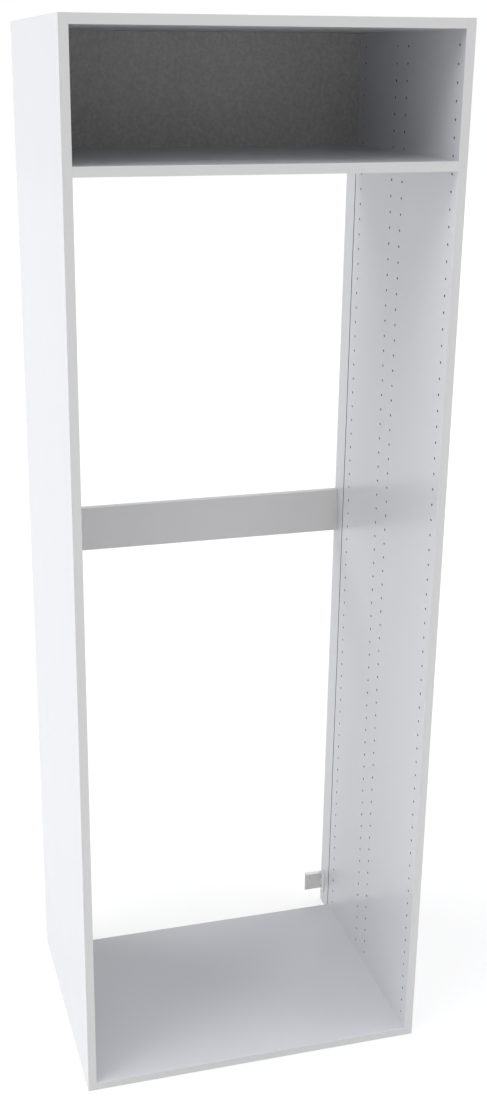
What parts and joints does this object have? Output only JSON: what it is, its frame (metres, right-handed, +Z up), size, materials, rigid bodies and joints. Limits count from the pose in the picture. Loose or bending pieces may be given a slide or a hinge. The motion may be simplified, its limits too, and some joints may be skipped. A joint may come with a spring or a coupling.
{
  "type": "tall oven housing unit",
  "caption": "Tall open-front kitchen carcass with an appliance niche open at the back, a closed top compartment, drilled sides and a rear fixing rail.",
  "frame": {"origin": "middle of the base, on the floor", "axes": "+Z up, the open front looks along -Y, +X to the right seen from the front"},
  "size_m": [0.75, 0.576, 2.17],
  "materials": {
    "white_board": "white melamine face, fine satin, on 18 mm chipboard",
    "white_edge_band": "white satin edge band, 1 mm",
    "grey_back_board": "grey lacquered fibreboard, 3 mm, lightly mottled",
    "bracket_steel": "folded steel, light grey satin coating",
    "zinc_cam": "die-cast zinc, dull nickel plating",
    "connecting_bolt": "zinc plated steel",
    "beech_dowel": "plain beech",
    "plated_screw": "zinc plated steel"
  },
  "bodies": {
    "root": {"right_side_panel": "white_board", "left_side_panel": "white_board", "bottom_panel": "white_board", "fixed_shelf": "white_board", "top_panel": "white_board", "rear_rail": "white_board", "right_side_front_band": "white_edge_band", "left_side_front_band": "white_edge_band", "bottom_panel_front_band": "white_edge_band", "fixed_shelf_front_band": "white_edge_band", "top_panel_front_band": "white_edge_band", "rear_rail_bottom_band": "white_edge_band", "rear_rail_top_band": "white_edge_band", "back_panel": "grey_back_board", "right_wall_bracket": "bracket_steel", "left_wall_bracket": "bracket_steel", "bottom_panel_cams": "zinc_cam", "bottom_panel_bolts": "connecting_bolt", "bottom_panel_dowels": "beech_dowel", "fixed_shelf_cams": "zinc_cam", "fixed_shelf_bolts": "connecting_bolt", "fixed_shelf_dowels": "beech_dowel", "top_panel_cams": "zinc_cam", "top_panel_bolts": "connecting_bolt", "top_panel_dowels": "beech_dowel", "rear_rail_cams": "zinc_cam", "rear_rail_bolts": "connecting_bolt", "rear_rail_dowels": "beech_dowel", "back_panel_screws": "plated_screw", "wall_bracket_screws": "plated_screw"}
  },
  "joints": []
}
